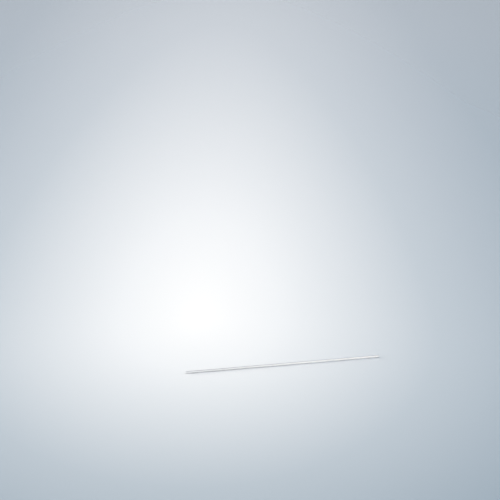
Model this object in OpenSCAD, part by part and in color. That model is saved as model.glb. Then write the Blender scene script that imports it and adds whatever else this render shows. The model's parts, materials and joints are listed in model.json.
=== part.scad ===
// Glass capillary tube, plain, open at both ends, with fire-polished lips.
//
// One piece of drawn glass tubing, cut to length and flame-polished at each end.
// It lies along X with its lowest line on Z = 0, as it rests on a bench, and the
// origin is under the middle of the tube. The bore runs right through.

/* [Tube] */
// Overall length, end to end, over the fire-polished lips
tube_length = 80; // [30:0.5:150]
// Outside diameter of the drawn tube
outer_diameter = 1; // [0.8:0.05:2]
// Wall thickness of the drawn tube
wall = 0.1; // [0.06:0.01:0.2]

/* [Fire-polished ends] */
// How far the melted lip thickens into the bore, measured on the radius
lip_bead = 0.02; // [0.005:0.005:0.04]
// Radius of the long sweep that blends the lip into the bore
lip_sweep = 1; // [0.5:0.1:3]

/* [Surface quality] */
// Segments round the tube and round the curves of its lips
segments = 96; // [48:16:192]

/* [Hidden] */

outer_r = outer_diameter / 2;
bore_r = outer_r - wall;

// The lip is a full round. It keeps the outside line of the tube and stands into the bore.
lip_r = (wall + lip_bead) / 2;
lip_centre_r = outer_r - lip_r;
lip_centre_h = tube_length / 2 - lip_r;

// The sweep's centre lies in the bore. It is tangent to the bore's wall and to the lip's round.
sweep_centre_r = bore_r - lip_sweep;
sweep_reach = sqrt(pow(lip_r + lip_sweep, 2) - pow(lip_centre_r - sweep_centre_r, 2));
sweep_centre_h = lip_centre_h - sweep_reach;

// Where the sweep touches the lip's round
touch = lip_sweep / (lip_sweep + lip_r);
touch_r = sweep_centre_r + touch * (lip_centre_r - sweep_centre_r);
touch_h = sweep_centre_h + touch * (lip_centre_h - sweep_centre_h);

// Sizes that anything fitted to the tube needs
straight_bore_length = 2 * sweep_centre_h;
straight_outside_length = 2 * lip_centre_h;
mouth_diameter = 2 * (outer_r - 2 * lip_r);
glass_volume_ul = PI * (pow(outer_r, 2) - pow(bore_r, 2)) * tube_length;
fill_volume_ul = PI * pow(bore_r, 2) * tube_length;
echo(mouth_diameter = mouth_diameter,
     straight_bore_length = straight_bore_length,
     straight_outside_length = straight_outside_length,
     glass_volume_ul = glass_volume_ul,
     fill_volume_ul = fill_volume_ul);

// Right half of the wall's section, with the radius along X and the tube's length along Y
module half_wall_section() {
    // Straight wall, from the middle of the tube to the middle of the lip's round
    translate([bore_r, 0])
        square([wall, lip_centre_h]);

    // Full round of the lip
    translate([lip_centre_r, lip_centre_h])
        circle(r = lip_r, $fn = segments);

    // Glass that swells into the bore behind the lip
    difference() {
        polygon([
            [bore_r, sweep_centre_h],
            [bore_r + wall / 2, sweep_centre_h],
            [bore_r + wall / 2, lip_centre_h],
            [lip_centre_r, lip_centre_h],
            [touch_r, touch_h],
            [bore_r - lip_bead, touch_h],
            [bore_r - lip_bead, sweep_centre_h]
        ]);
        translate([sweep_centre_r, sweep_centre_h])
            circle(r = lip_sweep, $fn = 8 * segments);
    }
}

// Whole wall section, both ends alike
module wall_section() {
    half_wall_section();
    mirror([0, 1]) half_wall_section();
}

// The glass itself, lying on its side
module capillary_tube() {
    color([0.86, 0.90, 0.93, 0.35])
        translate([0, 0, outer_r])
            rotate([0, 90, 0])
                rotate_extrude($fn = segments)
                    wall_section();
}

capillary_tube();
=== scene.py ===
import json
import math

import bpy
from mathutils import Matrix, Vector


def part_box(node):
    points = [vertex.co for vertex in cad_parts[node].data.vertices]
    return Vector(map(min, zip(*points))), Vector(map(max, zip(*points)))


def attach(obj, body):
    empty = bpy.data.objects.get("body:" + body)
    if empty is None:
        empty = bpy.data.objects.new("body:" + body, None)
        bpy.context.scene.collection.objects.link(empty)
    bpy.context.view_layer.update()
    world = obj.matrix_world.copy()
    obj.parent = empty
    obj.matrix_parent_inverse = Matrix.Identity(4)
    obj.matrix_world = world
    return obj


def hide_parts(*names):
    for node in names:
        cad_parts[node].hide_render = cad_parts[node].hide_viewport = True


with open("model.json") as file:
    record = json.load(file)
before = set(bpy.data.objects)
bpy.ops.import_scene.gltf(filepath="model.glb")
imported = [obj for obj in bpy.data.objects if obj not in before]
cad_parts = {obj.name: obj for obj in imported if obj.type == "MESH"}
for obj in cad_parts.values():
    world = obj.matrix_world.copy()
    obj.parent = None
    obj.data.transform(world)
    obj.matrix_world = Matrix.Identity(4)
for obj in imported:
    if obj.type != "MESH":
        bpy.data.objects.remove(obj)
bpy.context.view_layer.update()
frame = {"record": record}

MM = 0.001

# ---------------------------------------------------------------- sizes, in metres, as the CAD has them
dims = {m["name"]: m["dims"] for m in frame["record"]["mounts"]}
lo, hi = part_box("capillary_tube")
HALF = (hi[0] - lo[0]) / 2
OUTER = dims["barrel"]["r_mm"] * MM
BORE = dims["bore"]["r_mm"] * MM
BEAD = 0.02 * MM
SWEEP = 1.0 * MM
LIP = (OUTER - BORE + BEAD) / 2
LIP_R = OUTER - LIP
LIP_X = HALF - LIP
SWEEP_R = BORE - SWEEP
SWEEP_X = LIP_X - math.sqrt((LIP + SWEEP) ** 2 - (LIP_R - SWEEP_R) ** 2)
AXIS_Z = OUTER

scene = bpy.context.scene


# ---------------------------------------------------------------- node helpers
def new_material(name):
    mat = bpy.data.materials.new(name)
    mat.use_nodes = True
    mat.node_tree.nodes.clear()
    return mat, mat.node_tree


def math_node(tree, op, *values):
    node = tree.nodes.new("ShaderNodeMath")
    node.operation = op
    for i, v in enumerate(values):
        if isinstance(v, (int, float)):
            node.inputs[i].default_value = v
        else:
            tree.links.new(v, node.inputs[i])
    return node.outputs[0]


def scaled(tree, colour, factor):
    node = tree.nodes.new("ShaderNodeVectorMath")
    node.operation = "SCALE"
    tree.links.new(colour, node.inputs[0])
    if isinstance(factor, (int, float)):
        node.inputs["Scale"].default_value = factor
    else:
        tree.links.new(factor, node.inputs["Scale"])
    return node.outputs[0]


def smooth(tree, value, start, stop):
    node = tree.nodes.new("ShaderNodeMapRange")
    node.interpolation_type = "SMOOTHSTEP"
    node.inputs["From Min"].default_value = start
    node.inputs["From Max"].default_value = stop
    tree.links.new(value, node.inputs["Value"])
    return node.outputs[0]


def ramp(tree, value, stops):
    node = tree.nodes.new("ShaderNodeValToRGB")
    node.color_ramp.interpolation = "LINEAR"
    marks = node.color_ramp.elements
    while len(marks) < len(stops):
        marks.new(0.5)
    for i, (at, _) in enumerate(stops):
        marks[i].position = at
    for i, (at, colour) in enumerate(stops):
        marks[i].position = at
        marks[i].color = (*colour, 1)
    tree.links.new(value, node.inputs[0])
    return node.outputs[0]


def mix_colours(tree, factor, first, second):
    node = tree.nodes.new("ShaderNodeMix")
    node.data_type = "RGBA"
    slots = [s for s in node.inputs if s.type == "RGBA"]
    tree.links.new(factor, node.inputs["Factor"])
    for slot, colour in zip(slots, (first, second)):
        if isinstance(colour, tuple):
            slot.default_value = (*colour, 1)
        else:
            tree.links.new(colour, slot)
    return [s for s in node.outputs if s.type == "RGBA"][0]


# ---------------------------------------------------------------- the tube, as a fine lathed mesh
def spans(start, stop, count):
    return [start + (stop - start) * i / count for i in range(count + 1)]


def half_profile():
    """(x, r) points from the middle of the outside, round the lip, to the middle of the bore."""
    outside = [(x, OUTER) for x in spans(0.0, LIP_X, 40)]
    touch = math.atan2(LIP_R - SWEEP_R, LIP_X - SWEEP_X)  # from the sweep's centre to the lip's
    round_ = [
        (LIP_X + LIP * math.cos(a), LIP_R + LIP * math.sin(a))
        for a in spans(math.pi / 2, touch - math.pi, 28)[1:]
    ]
    sweep = [
        (SWEEP_X + SWEEP * math.cos(a), SWEEP_R + SWEEP * math.sin(a))
        for a in spans(touch, math.pi / 2, 10)[1:]
    ]
    inside = [(x, BORE) for x in spans(SWEEP_X, 0.0, 40)[1:]]
    return outside + round_ + sweep + inside


def lathe(name, sides=192):
    right = half_profile()
    left = [(-x, r) for x, r in reversed(right)][1:]
    loop = right + left
    loop.pop()  # the loop closes on its first point
    verts, faces = [], []
    n = len(loop)
    for x, r in loop:
        for k in range(sides):
            a = 2 * math.pi * k / sides
            verts.append((x, r * math.cos(a), AXIS_Z + r * math.sin(a)))
    for i in range(n):
        j = (i + 1) % n
        for k in range(sides):
            m = (k + 1) % sides
            faces.append((i * sides + k, i * sides + m, j * sides + m, j * sides + k))
    mesh = bpy.data.meshes.new(name)
    mesh.from_pydata(verts, [], faces)
    mesh.update()
    mesh.validate()
    for p in mesh.polygons:
        p.use_smooth = True
    made = bpy.data.objects.new(name, mesh)
    scene.collection.objects.link(made)
    return made


tube = lathe("glass_tube")
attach(tube, "root")
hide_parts("capillary_tube")


# ---------------------------------------------------------------- glass
def glass_material():
    """Clear drawn glass: long draw lines down the tube, and a very slight drift of tint and polish."""
    mat, tree = new_material("drawn_glass")
    nodes, links = tree.nodes, tree.links
    out = nodes.new("ShaderNodeOutputMaterial")
    bsdf = nodes.new("ShaderNodeBsdfPrincipled")
    links.new(bsdf.outputs["BSDF"], out.inputs["Surface"])
    bsdf.inputs["Transmission Weight"].default_value = 1.0
    bsdf.inputs["IOR"].default_value = 1.517

    place = nodes.new("ShaderNodeTexCoord").outputs["Object"]

    # Draw lines: stretched 400 times along the tube, about 0.05 mm apart across it
    stretch = nodes.new("ShaderNodeMapping")
    stretch.inputs["Location"].default_value = (0.0, 0.0, -AXIS_Z)
    stretch.inputs["Scale"].default_value = (0.0025, 1.0, 1.0)
    links.new(place, stretch.inputs["Vector"])
    lines = nodes.new("ShaderNodeTexNoise")
    lines.inputs["Scale"].default_value = 9000.0
    lines.inputs["Detail"].default_value = 3.0
    lines.inputs["Roughness"].default_value = 0.55
    links.new(stretch.outputs["Vector"], lines.inputs["Vector"])
    bump = nodes.new("ShaderNodeBump")
    bump.inputs["Strength"].default_value = 0.12
    bump.inputs["Distance"].default_value = 0.0006 * MM
    links.new(lines.outputs["Fac"], bump.inputs["Height"])
    links.new(bump.outputs["Normal"], bsdf.inputs["Normal"])

    # Slow drift along the tube, over some 12 mm
    drift = nodes.new("ShaderNodeTexNoise")
    drift.inputs["Scale"].default_value = 85.0
    drift.inputs["Detail"].default_value = 2.0
    links.new(place, drift.inputs["Vector"])
    tint = mix_colours(tree, drift.outputs["Fac"], (0.980, 0.990, 0.993), (0.990, 0.994, 0.997))
    links.new(tint, bsdf.inputs["Base Color"])
    polish = nodes.new("ShaderNodeMapRange")
    polish.inputs["From Min"].default_value = 0.35
    polish.inputs["From Max"].default_value = 0.75
    polish.inputs["To Min"].default_value = 0.0
    polish.inputs["To Max"].default_value = 0.006
    links.new(lines.outputs["Fac"], polish.inputs["Value"])
    links.new(polish.outputs[0], bsdf.inputs["Roughness"])
    return mat


tube.data.materials.clear()
tube.data.materials.append(glass_material())

# ---------------------------------------------------------------- camera
PITCH, YAW = math.radians(13.6379), math.radians(-17.0127)
cam_data = bpy.data.cameras.new("camera")
cam_data.sensor_fit = "HORIZONTAL"
cam_data.sensor_width = 36.0
cam_data.lens = 2800 / 500 * 36.0
cam_data.clip_start, cam_data.clip_end = 0.05, 20.0
cam = bpy.data.objects.new("camera", cam_data)
cam.location = (-0.325052, -1.016739, 0.306085)
forward = Vector((-math.sin(YAW) * math.cos(PITCH), math.cos(YAW) * math.cos(PITCH), -math.sin(PITCH)))
cam.rotation_mode = "QUATERNION"
cam.rotation_quaternion = forward.to_track_quat("-Z", "Y")
scene.collection.objects.link(cam)
scene.camera = cam


# ---------------------------------------------------------------- stage: pale glossy bench with a soft pool of light painted into its colour
# Painted light: the pool of light on the bench is painted into its colour, palest in the middle and darker
# outwards
PAINTED_LIGHT_POOL = [  # distance from the middle of the pool, in its own widths, then the bench's colour with the pool of light painted into it
    (0.0, (0.984, 0.980, 0.977)),
    (0.3, (0.852, 0.870, 0.891)),
    (0.6, (0.665, 0.707, 0.745)),
    (0.9, (0.470, 0.538, 0.596)),
    (1.2, (0.362, 0.438, 0.504)),
    (1.5, (0.265, 0.351, 0.423)),
    (1.9, (0.220, 0.306, 0.378)),
    (2.4, (0.200, 0.285, 0.355)),
]
POOL_AT = (-0.0348, 0.0708)  # across the view and away from the camera, in metres
POOL_SIDE, POOL_NEAR, POOL_FAR, POOL_FADE = 0.1102, 0.2485, 0.5643, 0.6990


def floor_material():
    mat, tree = new_material("bench_with_painted_light_pool")
    nodes, links = tree.nodes, tree.links
    split = nodes.new("ShaderNodeSeparateXYZ")
    links.new(nodes.new("ShaderNodeTexCoord").outputs["Object"], split.inputs[0])
    x, y = split.outputs["X"], split.outputs["Y"]

    def m(op, *values):
        return math_node(tree, op, *values)

    across = m("ADD", m("MULTIPLY", x, math.cos(YAW)), m("MULTIPLY", y, math.sin(YAW)))
    away = m("SUBTRACT", m("MULTIPLY", y, math.cos(YAW)), m("MULTIPLY", x, math.sin(YAW)))
    side = m("DIVIDE", m("SUBTRACT", across, POOL_AT[0]), POOL_SIDE)
    depth = m("SUBTRACT", away, POOL_AT[1])
    near = m("DIVIDE", m("MINIMUM", depth, 0.0), POOL_NEAR)
    behind = m("MAXIMUM", depth, 0.0)
    far = m("DIVIDE", behind, m("MULTIPLY", m("ADD", m("MULTIPLY", behind, POOL_FADE), 1.0), POOL_FAR))
    deep = m("ADD", near, far)
    rho = m("SQRT", m("ADD", m("MULTIPLY", side, side), m("MULTIPLY", deep, deep)))
    reach = PAINTED_LIGHT_POOL[-1][0]
    # Painted light: the bench's colour follows the painted pool of light, palest at its middle
    pool = ramp(tree, m("DIVIDE", rho, reach), [(r / reach, c) for r, c in PAINTED_LIGHT_POOL])
    # Painted light: the painted pool is a little darker in front of the tube and far behind it
    nearer = m("MULTIPLY", m("MINIMUM", away, 0.0), 0.2)
    painted_pool_falloff = m("ADD", m("ADD", m("MULTIPLY", away, m("SUBTRACT", 0.135, m("MULTIPLY", away, 0.150))), nearer), 1.0)
    pool = scaled(tree, pool, m("MAXIMUM", painted_pool_falloff, 0.9))

    body = nodes.new("ShaderNodeBsdfDiffuse")
    # The diffuse colour carries the painted pool of light
    links.new(scaled(tree, pool, 0.58), body.inputs["Color"])
    gloss = nodes.new("ShaderNodeBsdfGlossy")
    gloss.inputs["Roughness"].default_value = 0.02
    gloss.inputs["Color"].default_value = (1.0, 1.0, 1.0, 1)
    fresnel = nodes.new("ShaderNodeFresnel")
    fresnel.inputs["IOR"].default_value = 1.6
    mix = nodes.new("ShaderNodeMixShader")
    links.new(fresnel.outputs[0], mix.inputs[0])
    links.new(body.outputs[0], mix.inputs[1])
    links.new(gloss.outputs[0], mix.inputs[2])
    out = nodes.new("ShaderNodeOutputMaterial")
    links.new(mix.outputs[0], out.inputs["Surface"])
    return mat


bpy.ops.mesh.primitive_plane_add(size=8.0, location=(0, 0, 0))
floor = bpy.context.object
floor.name = "floor"
floor.data.materials.append(floor_material())

# ---------------------------------------------------------------- surroundings: what the glass and the bench see
HORIZON = (0.42, 0.49, 0.54)
# elevation in degrees, then the light of the plain room from the back and from the front
ROOM = [
    (9, (0.45, 0.47, 0.49), (0.48, 0.51, 0.54)),
    (18, (0.46, 0.46, 0.48), (0.58, 0.59, 0.60)),
    (26, (0.36, 0.38, 0.41), (0.78, 0.78, 0.78)),
    (36, (0.72, 0.72, 0.72), (1.05, 1.04, 1.03)),
    (44, (1.00, 0.99, 0.98), (1.15, 1.14, 1.12)),
    (54, (1.15, 1.14, 1.12), (1.20, 1.19, 1.17)),
    (66, (1.15, 1.14, 1.12), (1.15, 1.14, 1.12)),
    (90, (0.90, 0.90, 0.90), (0.90, 0.90, 0.90)),
]
# Four reflectors stand along the slanting line that the tube shows to the camera: a bright one front right,
# a dim one front left, and two at the back that go dark above the bench.
# Elevation in degrees, then how bright the left back, left front, right back and right front ones are
REFLECTORS = [
    (9, 0.66, 0.66, 0.66, 3.08),
    (18, 0.39, 0.67, 0.39, 2.99),
    (26, 0.00, 0.69, 0.00, 3.07),
    (36, 0.00, 0.58, 0.66, 3.35),
    (54, 0.24, 0.33, 0.98, 3.44),
    (90, 0.21, 0.54, 1.05, 3.23),
]
REFLECTOR_TINTS = ((0.93, 0.89, 0.91), (0.90, 0.90, 1.05), (0.93, 0.89, 0.91), (1.20, 1.08, 1.00))

world = bpy.data.worlds.new("studio")
scene.world = world
world.use_nodes = True
wt = world.node_tree
wt.nodes.clear()
heading = wt.nodes.new("ShaderNodeSeparateXYZ")
wt.links.new(wt.nodes.new("ShaderNodeTexCoord").outputs["Generated"], heading.inputs[0])
up = math_node(wt, "MINIMUM", math_node(wt, "MAXIMUM", heading.outputs["Z"], 0.0), 1.0)
elevation = math_node(wt, "DIVIDE", math_node(wt, "ARCSINE", up), math.pi / 2)


def by_height(rows):
    return ramp(wt, elevation, [(0.0, HORIZON)] + [(height / 90.0, colour) for height, colour in rows])


left_back, left_front, right_back, right_front = (
    by_height([(row[0], tuple(row[i + 1] * t for t in tint)) for row in REFLECTORS])
    for i, tint in enumerate(REFLECTOR_TINTS)
)
backwards = smooth(wt, heading.outputs["Y"], -0.5, 0.5)
rightwards = smooth(wt, heading.outputs["X"], 0.24, 0.34)
room_back, room_front = (by_height([(row[0], row[i]) for row in ROOM]) for i in (1, 2))
reflectors = mix_colours(
    wt,
    rightwards,
    mix_colours(wt, backwards, left_front, left_back),
    mix_colours(wt, backwards, right_front, right_back),
)
starts = smooth(wt, heading.outputs["X"], 0.10, 0.20)
ends = smooth(wt, heading.outputs["X"], 0.38, 0.48)
within = math_node(wt, "MULTIPLY", starts, math_node(wt, "SUBTRACT", 1.0, ends))
sky = wt.nodes.new("ShaderNodeBackground")
wt.links.new(
    mix_colours(wt, within, mix_colours(wt, backwards, room_front, room_back), reflectors),
    sky.inputs["Color"],
)
sky.inputs["Strength"].default_value = 1.0
wt.links.new(sky.outputs[0], wt.nodes.new("ShaderNodeOutputWorld").inputs["Surface"])


def distant_lamp(name, heading, height, spread, strength):
    """A soft far-off lamp; angles in degrees, the heading from +Y towards +X, the spread across its disc."""
    h, e = math.radians(heading), math.radians(height)
    towards = Vector((math.sin(h) * math.cos(e), math.cos(h) * math.cos(e), math.sin(e)))
    top = max(strength)
    light = bpy.data.lights.new(name, "SUN")
    light.angle = math.radians(spread)
    light.energy = top
    light.color = tuple(c / top for c in strength)
    made = bpy.data.objects.new(name, light)
    made.location = towards * 1.5
    made.rotation_mode = "QUATERNION"
    made.rotation_quaternion = (-towards).to_track_quat("-Z", "Y")
    made.visible_camera = False
    made.visible_glossy = False
    scene.collection.objects.link(made)


distant_lamp("lamp_left_back_low", -60, 15, 16, (4.70, 4.70, 4.21))
distant_lamp("lamp_left_front", -143, 28, 25, (1.98, 2.14, 2.35))
distant_lamp("lamp_left_front_low", -125, 14, 18, (1.73, 1.46, 1.67))
distant_lamp("lamp_right_front", 135, 30, 25, (1.85, 2.09, 2.17))
distant_lamp("lamp_back_low", -20, 14, 16, (0.80, 0.84, 0.82))

# ---------------------------------------------------------------- picture settings
scene.view_settings.view_transform = "Standard"
scene.view_settings.look = "None"
scene.cycles.pixel_filter_type = "BLACKMAN_HARRIS"
scene.cycles.filter_width = 1.5
scene.cycles.use_denoising = True
scene.cycles.max_bounces = 24
scene.cycles.transmission_bounces = 24
scene.cycles.glossy_bounces = 12
scene.cycles.diffuse_bounces = 4

bpy.context.view_layer.update()
